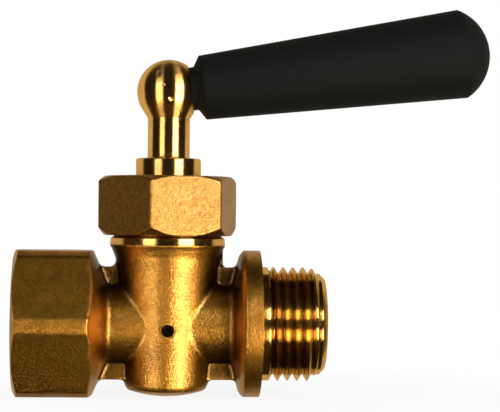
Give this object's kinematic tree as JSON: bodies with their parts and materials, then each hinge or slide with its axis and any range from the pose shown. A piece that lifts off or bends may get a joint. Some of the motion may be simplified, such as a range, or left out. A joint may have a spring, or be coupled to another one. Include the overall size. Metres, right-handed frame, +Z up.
{
  "type": "gauge cock",
  "caption": "Brass three-way gauge cock: tapered plug turned by a lever with a black grip, hexagonal socket, male pipe thread behind a round collar, gland nut and vent hole.",
  "frame": {"origin": "centre of the collar's flat sealing face, on the axis of the male thread", "axes": "+X out along the male thread, +Z up along the stem, +Y away from the vent hole"},
  "size_m": [0.0876, 0.0294, 0.0722],
  "materials": {
    "forged_brass": "hot forged and sand blasted",
    "blasted_brass": "pressed hexagon, sand blasted",
    "turned_brass": "turned bright",
    "zinc_plated_steel": "zinc plated",
    "graphite_packing": "compressed graphite",
    "moulded_phenolic": "moulded matte black"
  },
  "bodies": {
    "body": {"valve_body": "forged_brass", "gland_nut": "blasted_brass", "gland_follower": "turned_brass", "packing_base_washer": "turned_brass", "packing_ring_lower": "graphite_packing", "packing_ring_middle": "graphite_packing", "packing_ring_upper": "graphite_packing"},
    "lever": {"plug": "turned_brass", "lever_stud": "zinc_plated_steel", "grip_insert": "turned_brass", "grip": "moulded_phenolic"}
  },
  "joints": [
    {"name": "plug_turn", "type": "hinge", "parent": "body", "child": "lever", "pos_m": [-0.017, 0, 0], "axis": [0, 0, 1], "continuous": true}
  ]
}
